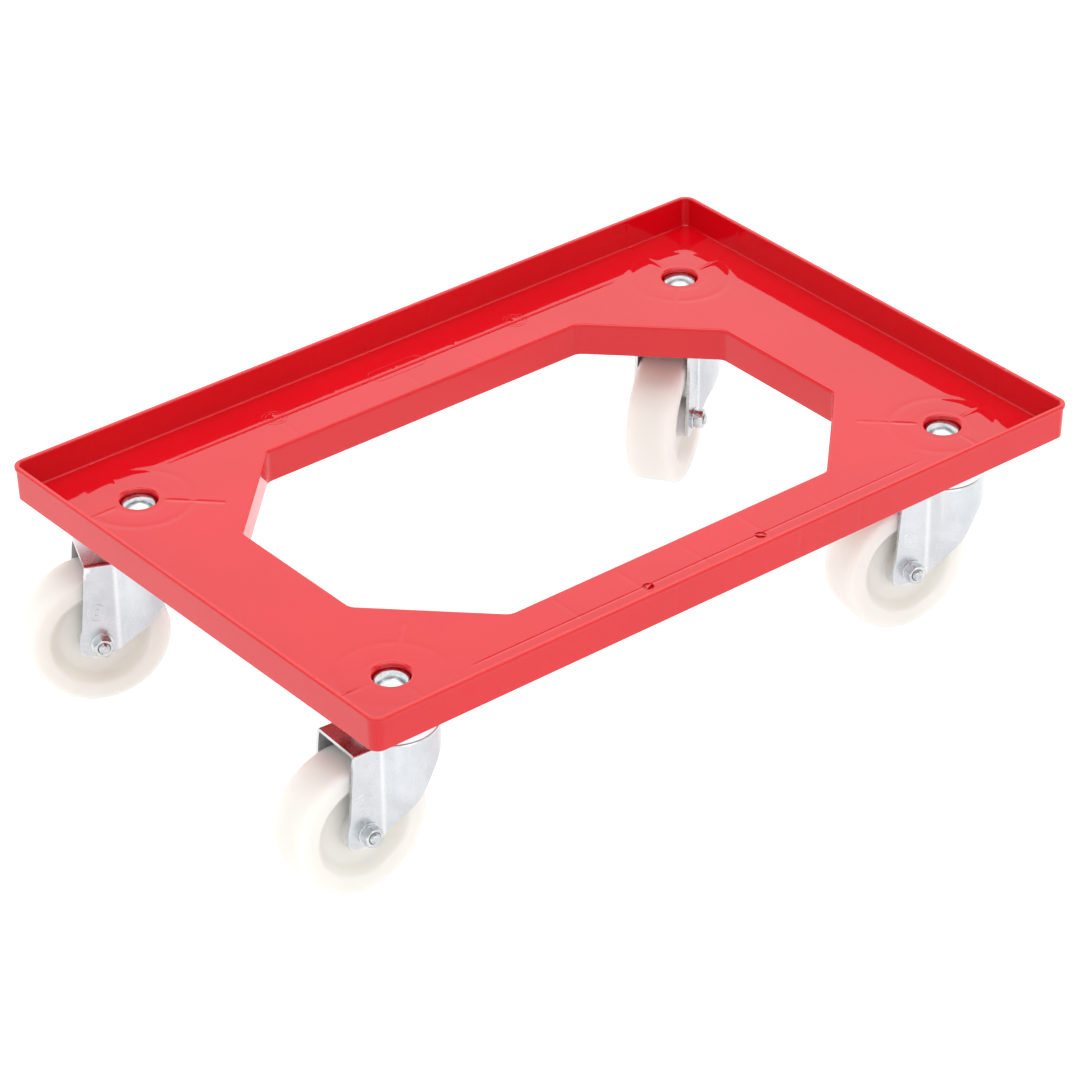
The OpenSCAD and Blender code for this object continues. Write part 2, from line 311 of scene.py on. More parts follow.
def rotation(degrees, axis):
    return Matrix.Rotation(math.radians(degrees), 4, axis)


# ---------------------------------------------------------------- node helpers


class Nodes:
    """A material whose node tree is built by short calls."""

    def __init__(self, name):
        self.mat = bpy.data.materials.new(name)
        self.mat.use_nodes = True
        self.tree = self.mat.node_tree
        self.shader = self.tree.nodes["Principled BSDF"]
        self.coords = self.add("ShaderNodeTexCoord")

    def add(self, kind, **values):
        node = self.tree.nodes.new(kind)
        for key, value in values.items():
            setattr(node, key, value)
        return node

    def link(self, a, b):
        self.tree.links.new(a, b)

    def feed(self, value, socket):
        """Links an output to the socket, or sets a number or colour on it."""
        if hasattr(value, "is_linked"):
            self.link(value, socket)
        elif isinstance(value, (tuple, list)):
            socket.default_value = (*value, 1.0) if len(value) == 3 else value
        else:
            socket.default_value = value

    def place(self):
        """The object's own X, Y and Z, in metres."""
        node = self.add("ShaderNodeSeparateXYZ")
        self.link(self.coords.outputs["Object"], node.inputs["Vector"])
        return node.outputs

    def noise(self, scale, detail=3.0, rough=0.5, stretch=None):
        tex = self.add("ShaderNodeTexNoise")
        tex.inputs["Scale"].default_value = scale
        tex.inputs["Detail"].default_value = detail
        tex.inputs["Roughness"].default_value = rough
        source = self.coords.outputs["Object"]
        if stretch:
            mapping = self.add("ShaderNodeMapping")
            mapping.inputs["Scale"].default_value = stretch
            self.link(source, mapping.inputs["Vector"])
            source = mapping.outputs["Vector"]
        self.link(source, tex.inputs["Vector"])
        return tex.outputs["Fac"]

    def ramp(self, source, lo, hi, a, b):
        """Maps source from lo..hi to a..b, clamped."""
        node = self.add("ShaderNodeMapRange")
        node.inputs["From Min"].default_value = lo
        node.inputs["From Max"].default_value = hi
        node.inputs["To Min"].default_value = a
        node.inputs["To Max"].default_value = b
        self.link(source, node.inputs["Value"])
        return node.outputs["Result"]

    def mix(self, fac, a, b):
        """Mixes two colours; the node's colour sockets are inputs 6 and 7 and output 2."""
        node = self.add("ShaderNodeMix", data_type="RGBA")
        self.feed(fac, node.inputs["Factor"])
        self.feed(a, node.inputs[6])
        self.feed(b, node.inputs[7])
        return node.outputs[2]

    def math(self, op, a, b=0.0):
        node = self.add("ShaderNodeMath", operation=op)
        self.feed(a, node.inputs[0])
        self.feed(b, node.inputs[1])
        return node.outputs[0]

    def largest(self, first, *others):
        value = first
        for other in others:
            value = self.math("MAXIMUM", value, other)
        return value

    def product(self, first, *others):
        value = first
        for other in others:
            value = self.math("MULTIPLY", value, other)
        return value

    def bell(self, value, width):
        """1 where the value is 0, falling smoothly to 0 over about twice the width."""
        share = self.math("DIVIDE", value, width)
        return self.math("EXPONENT", self.product(share, share, -1.0))

    def bump(self, height, strength, distance, normal=None):
        node = self.add("ShaderNodeBump")
        node.inputs["Strength"].default_value = strength
        node.inputs["Distance"].default_value = distance
        self.link(height, node.inputs["Height"])
        if normal is not None:
            self.link(normal, node.inputs["Normal"])
        return node.outputs["Normal"]

    def set(self, **values):
        for key, value in values.items():
            self.feed(value, self.shader.inputs[key.replace("_", " ")])


def edge_wear(n, amount):
    """Share of rubbed metal or plastic, from the mesh's own pointiness."""
    geo = n.add("ShaderNodeNewGeometry")
    return n.ramp(geo.outputs["Pointiness"], 0.52, 0.60, 0.0, amount)


# ---------------------------------------------------------------- materials


def castor_sinks(n, x, y):
    """Sinks about one castor post: its wall, its round rib and the three ribs that meet it."""
    post_r = 18.0 * MM
    arm_start = 17.8 * MM
    arm_end = 60.0 * MM
    ring_width = 3.0 * MM
    arm_width = 1.8 * MM
    web_width = 2.6 * MM
    u = n.math("SUBTRACT", x, CASTOR_X * MM)
    v = n.math("SUBTRACT", y, CASTOR_Y * MM)
    r = n.math("SQRT", n.math("ADD", n.product(u, u), n.product(v, v)))
    ring = n.product(n.bell(n.math("SUBTRACT", r, RING_RIB_R * MM), ring_width), 0.7)
    post = n.product(n.bell(n.math("SUBTRACT", r, post_r), ring_width), 0.5)
    arm_y = n.product(n.bell(u, arm_width), n.math("GREATER_THAN", v, 0.0))
    arm_x = n.product(n.bell(v, arm_width), n.math("GREATER_THAN", u, 0.0))
    inward = n.math("LESS_THAN", n.math("ADD", u, v), 0.0)
    web = n.product(n.bell(n.math("SUBTRACT", u, v), web_width), inward)
    outside_post = n.math("GREATER_THAN", r, arm_start)
    in_reach = n.math("LESS_THAN", r, arm_end)
    arms = n.product(n.largest(arm_x, arm_y, web), outside_post, in_reach)
    return n.largest(ring, post, arms)


def sink_marks(n):
    """Shallow sinks in the deck over what is underneath: broad ones and a fine line; 1 is deepest."""
    rib_width = 1.8 * MM
    line_width = 0.9 * MM
    place = n.place()
    x = n.math("ABSOLUTE", place["X"])
    y = n.math("ABSOLUTE", place["Y"])
    cross = n.bell(n.math("PINGPONG", place["X"], RIB_GAP_ALONG / 2 * MM), rib_width)
    beside_opening = n.math("GREATER_THAN", y, 139.0 * MM)
    in_middle = n.math("LESS_THAN", x, 120.0 * MM)
    cross = n.product(cross, beside_opening, in_middle, 0.35)
    line = n.bell(n.math("SUBTRACT", y, LONG_RIB_Y * MM), line_width)
    line = n.product(line, n.ramp(x, 185.0 * MM, LONG_RIB_HALF * MM, 1.0, 0.0))
    return n.largest(castor_sinks(n, x, y), cross), line


def red_plastic():
    """Glossy injection-moulded tray: sinks over the ribs, gentle waves, scuffs and dust."""
    n = Nodes("red_plastic")
    broad = n.noise(9.0, 2.0)
    scuffs = n.noise(45.0, 6.0, 0.7, stretch=(1.0, 5.0, 1.0))
    specks = n.noise(700.0, 2.0, 0.5)
    base = n.mix(n.ramp(broad, 0.35, 0.65, 0.0, 1.0), (0.580, 0.0020, 0.0072), (0.615, 0.0024, 0.0084))
    high = n.ramp(n.place()["Z"], (RIM_TOP - 1.5) * MM, RIM_TOP * MM, 0.0, 1.0)
    lightened = n.product(high, n.ramp(scuffs, 0.35, 0.70, 0.15, 0.75))
    worn = n.mix(lightened, base, (0.650, 0.0200, 0.0200))
    dusty = n.mix(n.ramp(specks, 0.72, 0.80, 0.0, 0.12), worn, (0.62, 0.08, 0.08))
    n.set(Base_Color=dusty)
    n.set(Roughness=n.ramp(scuffs, 0.40, 0.75, 0.03, 0.075))
    n.set(IOR=1.5)
    wave = n.bump(n.noise(11.0, 1.0), 1.0, 0.35 * MM)
    ripple = n.bump(n.noise(55.0, 2.0, 0.5), 1.0, 0.04 * MM, wave)
    strength = n.ramp(n.noise(22.0, 2.0), 0.36, 0.60, 0.25, 1.0)
    soft, line = sink_marks(n)
    dented = n.bump(n.product(soft, strength, -1.0), 1.0, 0.34 * MM, ripple)
    lined = n.bump(n.product(line, -1.0), 1.0, 0.20 * MM, dented)
    n.set(Normal=lined)
    return n.mat


def nylon():
    """Natural polyamide: milky, translucent, with faint clouds, dirt and rubbed edges."""
    n = Nodes("nylon")
    cloud = n.noise(30.0, 4.0)
    dirt = n.noise(120.0, 6.0, 0.65)
    base = n.mix(cloud, (0.690, 0.685, 0.655), (0.730, 0.726, 0.700))
    dirty = n.mix(n.ramp(dirt, 0.62, 0.80, 0.0, 0.20), base, (0.64, 0.625, 0.58))
    worn = n.mix(edge_wear(n, 0.4), dirty, (0.77, 0.765, 0.745))
    n.set(Base_Color=worn)
    n.set(Roughness=n.ramp(cloud, 0.3, 0.7, 0.30, 0.42))
    n.set(Subsurface_Weight=0.9, Subsurface_Scale=0.8)
    n.shader.inputs["Subsurface Radius"].default_value = (0.040, 0.037, 0.031)
    n.set(Normal=n.bump(n.noise(600.0, 3.0), 0.3, 0.04 * MM))
    return n.mat


def zinc_plate():
    """Pressed sheet with bright zinc: soft blotches, drawing marks, painted highlights along the creases.
    """
    n = Nodes("zinc_plate")
    blotch = n.noise(48.0, 5.0, 0.62)
    mottled = n.noise(420.0, 4.0, 0.6)
    streaks = n.noise(90.0, 4.0, 0.6, stretch=(4.0, 4.0, 0.6))
    base = n.mix(n.ramp(blotch, 0.35, 0.68, 0.0, 1.0), (0.540, 0.575, 0.600), (0.625, 0.655, 0.680))
    spotted = n.mix(n.ramp(mottled, 0.58, 0.74, 0.0, 0.35), base, (0.44, 0.48, 0.51))
    drawn = n.mix(n.ramp(streaks, 0.55, 0.75, 0.0, 0.30), spotted, (0.70, 0.73, 0.75))
    # Painted highlight: the mesh's crease attribute lightens the zinc along the creases
    crease_highlight = n.add("ShaderNodeAttribute", attribute_name="crease_highlight")
    lightened = n.mix(n.product(crease_highlight.outputs["Fac"], 0.55), drawn, (0.84, 0.86, 0.87))
    worn = n.mix(edge_wear(n, 0.8), lightened, (0.90, 0.91, 0.92))
    n.set(Base_Color=worn, Metallic=1.0)
    n.set(Roughness=n.ramp(blotch, 0.3, 0.7, 0.20, 0.34))
    sheet = n.bump(n.noise(70.0, 3.0), 1.0, 0.05 * MM)
    n.set(Normal=n.bump(mottled, 0.6, 0.03 * MM, sheet))
    return n.mat


def bolt_steel():
    """Zinc-plated fasteners: an uneven film, small dents, fine grain and bright corners."""
    n = Nodes("bolt_steel")
    film = n.noise(190.0, 4.0, 0.6)
    base = n.mix(n.ramp(film, 0.35, 0.65, 0.0, 1.0), (0.38, 0.41, 0.43), (0.62, 0.65, 0.66))
    worn = n.mix(edge_wear(n, 0.7), base, (0.82, 0.84, 0.85))
    n.set(Base_Color=worn, Metallic=1.0)
    n.set(Roughness=n.ramp(film, 0.3, 0.7, 0.10, 0.24))
    dents = n.bump(n.noise(160.0, 2.0), 1.0, 0.06 * MM)
    n.set(Normal=n.bump(n.noise(1400.0, 3.0), 0.5, 0.01 * MM, dents))
    return n.mat


def ball_steel():
    """Polished balls with a film of grease."""
    n = Nodes("ball_steel")
    grease = n.noise(220.0, 3.0)
    n.set(Base_Color=n.mix(grease, (0.62, 0.62, 0.63), (0.50, 0.47, 0.40)), Metallic=1.0)
    n.set(Roughness=n.ramp(grease, 0.35, 0.70, 0.10, 0.30))
    n.set(Normal=n.bump(grease, 0.5, 0.03 * MM))
    return n.mat


def pale_floor():
    """White studio sheet that glows a little, so the trolley's shadow stays faint."""
    n = Nodes("pale_floor")
    tone = n.noise(1.5, 2.0)
    n.set(Base_Color=n.mix(tone, (0.49, 0.49, 0.49), (0.51, 0.51, 0.51)), Roughness=0.9)
    n.set(Specular_IOR_Level=0.1, Emission_Color=(1.0, 1.0, 1.0), Emission_Strength=0.68)
    return n.mat


# ---------------------------------------------------------------- tray


def octagon(grow, z, n=5):
    """Loop of the opening, moved outwards by grow, with its eight corners rounded."""
    x = OPENING_HALF[0] + grow
    y = OPENING_HALF[1] + grow
    r = OPENING_R + grow
    cut = OPENING_CUT + grow * (2 - math.sqrt(2)) + r * (math.sqrt(2) - 1)
    points = []
    for sx, sy, start in ROUND_QUARTERS:
        centres = [(x - r, y - cut), (x - cut, y - r)]
        if sx != sy:
            centres.reverse()
        for i, (cx, cy) in enumerate(centres):
            points += arc(sx * cx, sy * cy, r, start + 45 * i, start + 45 * (i + 1), n)
    return [(px, py, z) for px, py in points]


def rim_profile():
    """(distance inside the lip, height) from the floor, over the rim, to the underside."""
    foot_r = 1.2
    inner_r = 0.9
    outer_r = 1.0
    lip_r = 0.6
    skirt_r = 0.7
    points = arc(RIM_FOOT_INSET + foot_r, FLOOR_Z + foot_r, foot_r, -90, -180, 5)
    points += [(RIM_TOP_INSET, RIM_TOP - 1.0)]
    points += arc(RIM_TOP_INSET - inner_r, RIM_TOP - inner_r, inner_r, 0, 90, 5)[1:]
    points += arc(outer_r, RIM_TOP - outer_r, outer_r, 90, 180, 5)
    points += arc(lip_r, LIP_BOTTOM + lip_r, lip_r, 180, 270, 4)
    points += [(0.8, LIP_BOTTOM - 0.08), (0.98, LIP_BOTTOM - 0.3), (1.02, LIP_BOTTOM - 0.7)]
    points += arc(SKIRT_INSET + skirt_r, SKIRT_BOTTOM + skirt_r, skirt_r, 180, 270, 4)
    return points


def opening_profile():
    """(growth of the opening, height) from the floor down the wall and up behind it."""
    edge_r = 2.0
    points = arc(edge_r, FLOOR_Z - edge_r, edge_r, 90, 180, 6)
    points += [(0.3, WALL_BOTTOM + 11.0), (0.6, WALL_BOTTOM + 0.5), (0.8, WALL_BOTTOM + 0.12)]
    points += [(1.1, WALL_BOTTOM), (2.7, WALL_BOTTOM)]
    points += [(3.05, WALL_BOTTOM + 0.15), (WALL_T, WALL_BOTTOM + 0.5), (WALL_T, SKIRT_BOTTOM)]
    return points


def add_post(b, x, y):
    """Post under one bolt pocket, from the floor's hole down to its bolt hole and back up."""
    profile = arc(POCKET_R + MOUTH_R, FLOOR_Z - MOUTH_R, MOUTH_R, 90, 180, 8)
    profile += [(POCKET_R - 0.1, POCKET_FLOOR + 0.6), (POCKET_R - 0.6, POCKET_FLOOR)]
    profile += [(BOLT_HOLE_R, POCKET_FLOOR), (BOLT_HOLE_R, WALL_BOTTOM)]
    profile += [(POST_R - 0.85, WALL_BOTTOM), (POST_R - 0.15, WALL_BOTTOM + 0.5), (POST_R, SKIRT_BOTTOM)]
    rings = b.lathe(profile, 48, (x, y))
    return rings[0], rings[-1]


def add_round_mark(b, x, y, turn):
    """Round sunken mark with a bar standing across it."""
    floor = FLOOR_Z - 1.6
    rings = b.lathe([(4.1, FLOOR_Z), (4.0, FLOOR_Z - 0.1), (3.95, floor)], 24, (x, y))
    b.fan(rings[-1], (x, y, floor))
    add_block(b, (x, y, FLOOR_Z - 0.95), (3.93, 0.7, 0.9), turn)
    return rings[0]


def add_block(b, centre, half, turn):
    """Closed block with slightly rounded edges, turned about its upright axis."""
    ease = 0.25
    levels = ((ease, -half[2]), (0.0, -half[2] + ease), (0.0, half[2] - ease), (ease, half[2]))
    rings = []
    for inset, lift in levels:
        ring = []
        for px, py, pz in rounded_rectangle(half[0] - inset, half[1] - inset, 0.3, lift, 2):
            dx, dy = turned(px, py, turn)
            ring.append((centre[0] + dx, centre[1] + dy, centre[2] + pz))
        rings.append(b.loop(ring))
    b.solid(rings)


def add_ring_rib(b, x, y):
    """Shallow round rib under the deck, about one castor post."""
    low = SKIRT_BOTTOM - SHALLOW_RIB
    root = SKIRT_BOTTOM + RIB_ROOT
    inner = RING_RIB_R - RIB_HALF
    outer = RING_RIB_R + RIB_HALF
    profile = [(inner, root), (inner, low + RIB_BLUNT), (inner + RIB_BLUNT, low)]
    profile += [(outer - RIB_BLUNT, low), (outer, low + RIB_BLUNT), (outer, root)]
    b.lathe(profile, 72, (x, y))


def add_raised_line(b, path, width=0.55, height=0.22):
    """Low rounded ridge along a closed level path that runs counter-clockwise."""
    count = len(path)
    rings = []
    for side, lift in ((-1.0, -0.1), (-0.6, 0.7), (0.0, 1.0), (0.6, 0.7), (1.0, -0.1)):
        ring = []
        for i, (x, y, z) in enumerate(path):
            px, py, _ = path[i - 1]
            nx, ny, _ = path[(i + 1) % count]
            out = Vector((ny - py, px - nx)).normalized() * (side * width / 2)
            ring.append((x + out.x, y + out.y, z + lift * height))
        rings.append(b.loop(ring))
    b.skin(rings)


def add_rib(b, origin, turn, length):
    """Rib that is deep at its origin and shallow at its far end."""
    deep = SKIRT_BOTTOM - WALL_BOTTOM - 1.0
    side = [(0, -deep), (length, -1.5), (length, RIB_ROOT), (0, RIB_ROOT)]
    flank = RIB_HALF - RIB_BLUNT
    rings = []
    for y, lift in ((-RIB_HALF, RIB_BLUNT), (-flank, 0.0), (flank, 0.0), (RIB_HALF, RIB_BLUNT)):
        ring = []
        for x, z in side:
            dx, dy = turned(x, y, turn)
            up = lift if z < 0 else 0.0
            ring.append((origin[0] + dx, origin[1] + dy, SKIRT_BOTTOM + z + up))
        rings.append(b.loop(ring))
    b.solid(rings)


def add_shell(b):
    """Rim, deck, wall round the opening and posts, as one closed skin."""
    rings = []
    for inset, z in rim_profile():
        r = max(CORNER_R - inset, 2.0)
        rings.append(b.loop(rounded_rectangle(TRAY_HALF[0] - inset, TRAY_HALF[1] - inset, r, z)))
    b.skin(rings)
    walls = [b.loop(octagon(grow, z)) for grow, z in opening_profile()]
    b.skin(walls)
    posts = [add_post(b, sx * CASTOR_X, sy * CASTOR_Y) for sx, sy in QUARTERS]
    marks = [add_round_mark(b, -MARK_X, MARK_Y, 25), add_round_mark(b, MARK_X, MARK_Y, -50)]
    b.fill(rings[0], [walls[0], *(top for top, _ in posts), *marks])
    b.fill(rings[-1], [walls[-1], *(bottom for _, bottom in posts)])
    bmesh.ops.recalc_face_normals(b.bm, faces=b.bm.faces)


def add_wall_ribs(b):
    """Ribs from the opening's wall to just short of the skirt, on all four sides."""
    inside_skirt = 1.8
    taken = WALL_T + inside_skirt + RIB_STOP
    start_x = OPENING_HALF[0] + WALL_T - 1
    start_y = OPENING_HALF[1] + WALL_T - 1
    reach_x = TRAY_HALF[0] - OPENING_HALF[0] - taken
    reach_y = TRAY_HALF[1] - OPENING_HALF[1] - taken
    for side, turn in ((1, 0), (-1, 180)):
        for i in range(-2, 3):
            add_rib(b, (side * i * RIB_GAP_ALONG, side * start_y), 90 * side, reach_y)
        for i in range(-1, 2):
            add_rib(b, (side * start_x, side * i * RIB_GAP_ACROSS), turn, reach_x)


def add_castor_ribs(b, sx, sy):
    """Ribs from one post to the skirt, its web towards the opening and its round rib."""
    x = sx * CASTOR_X
    y = sy * CASTOR_Y
    start = POST_R - 1.0
    add_rib(b, (x + sx * start, y), 0 if sx > 0 else 180, POST_TO_SKIRT[0] - RIB_STOP)
    add_rib(b, (x, y + sy * start), 90 * sy, POST_TO_SKIRT[1] - RIB_STOP)
    inward = math.degrees(math.atan2(-sy, -sx))
    dx, dy = turned(WEB_MIDDLE, 0, inward)
    add_block(b, (x + dx, y + dy, WEB_Z), WEB_HALF, inward)
    add_ring_rib(b, x, y)


def add_long_ribs(b):
    """Shallow rib along each long side of the deck."""
    top = SKIRT_BOTTOM + 0.6
    half_height = (SHALLOW_RIB + 0.6) / 2
    for side in (-1, 1):
        add_block(b, (0, side * LONG_RIB_Y, top - half_height), (LONG_RIB_HALF, RIB_HALF, half_height), 0)


def add_stamps(b):
    """Plain outlines on the deck's far long side: two double rings and an oblong."""
    for x in (-STAMP_X, STAMP_X):
        add_raised_line(b, circle_loop(x, STAMP_Y, 9.0, FLOOR_Z, 48))
        add_raised_line(b, circle_loop(x, STAMP_Y, 6.4, FLOOR_Z, 40))
    oblong = rounded_rectangle(24.0, 7.5, 7.4, FLOOR_Z, 10)
    add_raised_line(b, [(x, y + STAMP_Y, z) for x, y, z in oblong])


def make_tray():
    b = Builder()
    add_shell(b)
    add_wall_ribs(b)
    for sx, sy in QUARTERS:
        add_castor_ribs(b, sx, sy)
    add_long_ribs(b)
    add_stamps(b)
    ob = b.object("tray_look")
    weighted_normals(ob)
    return ob


# ---------------------------------------------------------------- castor


def tray_point(corner):
    """Matrix of a castor's swivel axis, without the castor's turn."""
    sx, sy, _ = CORNERS[corner]
    return shift(sx * CASTOR_X, sy * CASTOR_Y, 0)


def castor_matrix(corner):
    return tray_point(corner) @ rotation(CORNERS[corner][2], "Z")


def axle_matrix(corner):
    """Shapes made about +Z land on the axle, with +Z towards the nut."""
    return castor_matrix(corner) @ shift(TRAIL, 0, AXLE_Z) @ rotation(-90, "X")


# Outlines of the fork's leg as (u, height): lower edge behind the crease, front edge, underside
TRIM = [
    (-32.0, 102.0), (-18.5, 90.2), (-12.5, 85.4), (-8.5, 80.6), (-5.2, 75.0), (-1.2, 69.6),
    (4.0, 62.6), (9.2, 57.6), (15.4, 51.6), (20.0, 46.6), (CREASE_U, CREASE_LOW),
]
FRONT = [
    (FORK_FRONT, FORK_TOP), (44.8, 110.0), (45.3, 107.0), (46.5, 92.0), (47.8, 77.0),
    (49.0, 62.5), (50.4, 58.6), (51.1, 55.0), (51.4, 50.0), (51.4, 44.2), (51.2, 42.4),
    (50.5, 41.5), (49.4, 41.1),
]
UNDER = [(49.4, 41.1), (43.5, 40.0), (37.0, 39.7), (31.5, 40.2), (27.0, 41.2), (CREASE_U, CREASE_LOW)]


def trim_height(u):
    if u <= TRIM[0][0]:
        return TRIM[0][1]
    for (a, za), (b, zb) in zip(TRIM, TRIM[1:]):
        if a <= u <= b:
            return lerp(za, zb, (u - a) / (b - a))
    return TRIM[-1][1]


def smooth_trim(u):
    """Lower edge of the fork's rear part, eased except near the crease."""
    if u >= 18:
        return trim_height(u)
    return sum(trim_height(u + d) for d in (-3, -1.5, 0, 1.5, 3)) / 5


def head_radius(z):
    """The round head widens smoothly from the legs up."""
    narrow_z = 54.0
    wide_z = 72.0
    t = min(1.0, max(0.0, (z - narrow_z) / (wide_z - narrow_z)))
    return lerp(HEAD_LOW_R, HEAD_R, t * t * (3 - 2 * t))


def rear_point(share, z):
    """Point of the fork's plan outline behind the crease: 0 at the crease, 1 at the back."""
    r = head_radius(z)
    crease = (CREASE_U, FORK_HALF)
    touch = math.atan2(FORK_HALF, CREASE_U) + math.acos(min(1.0, r / math.hypot(*crease)))
    tangent = (r * math.cos(touch), r * math.sin(touch))
    flat = math.dist(crease, tangent)
    curve = r * (math.pi - touch)
    s = share * (flat + curve)
    if s < flat:
        return lerp_points(crease, tangent, s / flat)
    a = touch + (s - flat) / r
    return (r * math.cos(a), r * math.sin(a))


def leg_point(k, t):
    """Point of the leg's flat side: k runs from the front to the crease, t from the top down."""
    crease = (CREASE_U, lerp(FORK_TOP, CREASE_LOW, t))
    top = (lerp(FORK_FRONT, CREASE_U, k), FORK_TOP)
    across = lerp_points(sample(FRONT, t), crease, k)
    down = lerp_points(top, sample(UNDER, k), t)
    straight = lerp_points(lerp_points(FRONT[0], UNDER[0], t), crease, k)
    return (across[0] + down[0] - straight[0], across[1] + down[1] - straight[1])


def fork_columns(rows):
    """Columns of the outer wall on one side, from the front edge to the back.

    Behind the crease the lower edge depends on the plan point, and the plan point on the
    height, so the edge is found by repetition.
    """
    columns = []
    flat_count = 9
    for j in range(flat_count + 1):
        points = [leg_point(j / flat_count, i / rows) for i in range(rows + 1)]
        columns.append([(u, FORK_HALF, z) for u, z in points])
    rear_count = 30
    for j in range(1, rear_count + 1):
        share = j / rear_count
        low = 80.0
        for _ in range(12):
            low = smooth_trim(rear_point(share, low)[0])
        heights = [lerp(FORK_TOP, low, i / rows) for i in range(rows + 1)]
        columns.append([(*rear_point(share, z), z) for z in heights])
    return columns


def rolled_edge(x, y):
    """Points over the crown's bend, from the flat top down to the wall at (x, y)."""
    towards = Vector((-x, -y)) if x < CREASE_U else Vector((0, -y))
    inward = towards.normalized()
    bend = arc(FORK_BEND, FORK_TOP - FORK_BEND, FORK_BEND, 90, 180, 4)
    return [(x + inward.x * d, y + inward.y * d, z) for d, z in bend]


def wall_line(column, rows):
    """One column with its rolled edge on top and even steps below."""
    edge = rolled_edge(column[0][0], column[0][1])
    path = [edge[-1]] + [p for p in column if p[2] < FORK_TOP - FORK_BEND - 0.8]
    return edge + [sample(path, i / rows) for i in range(1, rows + 1)]


def make_fork(corner):
    """One sheet: a crown with a rolled edge, two legs and a closed back."""
    b = Builder()
    rows = 16
    side = fork_columns(rows)
    mirrored = [[(x, -y, z) for x, y, z in column] for column in reversed(side[:-1])]
    lines = [b.loop(wall_line(column, rows)) for column in side + mirrored]
    b.skin(lines, closed=False)
    add_crown(b, lines)
    ob = b.object(f"fork_look_{corner}", outward=False)
    point_normals_out(ob)
    paint_crease_highlights(ob)
    shell = ob.modifiers.new("sheet", "SOLIDIFY")
    shell.thickness = FORK_T * MM
    shell.offset = -1.0
    shell.use_quality_normals = True
    edge = ob.modifiers.new("edges", "BEVEL")
    edge.width = 0.35 * MM
    edge.segments = 2
    edge.limit_method = "ANGLE"
    edge.angle_limit = math.radians(50)
    weighted_normals(ob)
    ob.data.transform(castor_matrix(corner))
    return ob


def add_crown(b, lines):
    """Flat top between the rolled edge and the kingpin's hole, rings of equal count."""
    outer = [line[0] for line in lines]
    front_steps = 10
    first = outer[0].co / MM
    last = outer[-1].co / MM
    front = [(last.x, lerp(last.y, first.y, k / front_steps), last.z) for k in range(1, front_steps)]
    outline = outer + b.loop(front)
    polar = []
    for v in outline:
        polar.append((math.hypot(v.co.x, v.co.y) / MM, math.atan2(v.co.y, v.co.x)))
    rings = [outline]
    for share in (0.33, 0.66, 1.0):
        ring = []
        for radius, a in polar:
            r = lerp(radius, FORK_HOLE_R, share)
            ring.append((r * math.cos(a), r * math.sin(a), FORK_TOP))
        rings.append(b.loop(ring))
    b.skin(rings)


def point_normals_out(ob):
    """Makes the sheet's faces agree and its crown point up."""
    bm = bmesh.new()
    bm.from_mesh(ob.data)
    bmesh.ops.recalc_face_normals(bm, faces=bm.faces)
    crown = max(bm.faces, key=lambda f: f.calc_center_median().z)
    if crown.normal.z < 0:
        bmesh.ops.reverse_faces(bm, faces=bm.faces)
    bm.to_mesh(ob.data)
    bm.free()


def paint_crease_highlights(ob):
    """Painted highlight along the creases, strongest along the legs' upright creases, for the material's
    bright lines.
    """
    crease_highlight = ob.data.attributes.new("crease_highlight", "FLOAT", "POINT")
    fade_low = 70.0
    fade_high = 100.0
    for vertex, value in zip(ob.data.vertices, crease_highlight.data):
        x, y, z = vertex.co / MM
        crease = max(0.0, 1.0 - math.hypot(x - CREASE_U, abs(y) - FORK_HALF))
        # The head's crease gets a weaker painted highlight, fading in with height
        head = max(0.0, 1.0 - math.hypot(x - HEAD_CREASE[0], abs(y) - HEAD_CREASE[1]) / 2.4)
        head *= min(1.0, max(0.0, (z - fade_low) / (fade_high - fade_low)))
        value.value = max(crease, 0.45 * head)


def make_leg_marks(corner):
    """Plain double rings embossed on both legs."""
    u, z = LEG_MARK
    marks = []
    for side in (1, -1):
        b = Builder()
        for radius in LEG_MARK_RADII:
            add_raised_line(b, circle_loop(0, 0, radius, 0, 36), 0.9, 0.24)
        place = shift(u, side * FORK_HALF, z) @ rotation(-90 * side, "X")
        marks.append(b.object("leg_mark", place))
    ob = join(marks, f"leg_marks_{corner}")
    ob.data.transform(castor_matrix(corner))
    return ob


def wheel_profile():
    """(radius, distance from the middle) of half the wheel, from the tread to the bore."""
    points = [(WHEEL_R, 0.0), (WHEEL_R, 6.0), (WHEEL_R, 12.6)]
    points += arc(WHEEL_R - SHOULDER_R, WHEEL_HALF - SHOULDER_R, SHOULDER_R, 0, 90, 9)[1:]
    points += [(40.0, WHEEL_HALF), (37.0, WHEEL_HALF)]
    points += [(36.2, WHEEL_HALF - 0.15), (35.3, WHEEL_HALF - 0.7), (34.3, WHEEL_HALF - 1.6)]
    points += [(31.6, DISH + 2.2), (30.4, DISH + 1.2), (29.0, DISH + 0.4), (27.2, DISH)]
    points += [(16.2, DISH), (15.2, DISH + 0.2), (14.7, DISH + 1.0)]
    points += [(14.4, HUB_END - 0.7), (14.1, HUB_END - 0.2), (13.5, HUB_END)]
    points += [(WHEEL_BORE_R + 0.55, HUB_END), (WHEEL_BORE_R + 0.1, HUB_END - 0.2)]
    points += [(WHEEL_BORE_R, HUB_END - 0.6), (WHEEL_BORE_R, 0.0)]
    return points


def make_wheel(corner):
    b = Builder()
    half = wheel_profile()
    b.lathe([(r, -y) for r, y in reversed(half[1:])] + half, 128)
    ob = b.object(f"wheel_look_{corner}", axle_matrix(corner))
    weighted_normals(ob)
    return ob


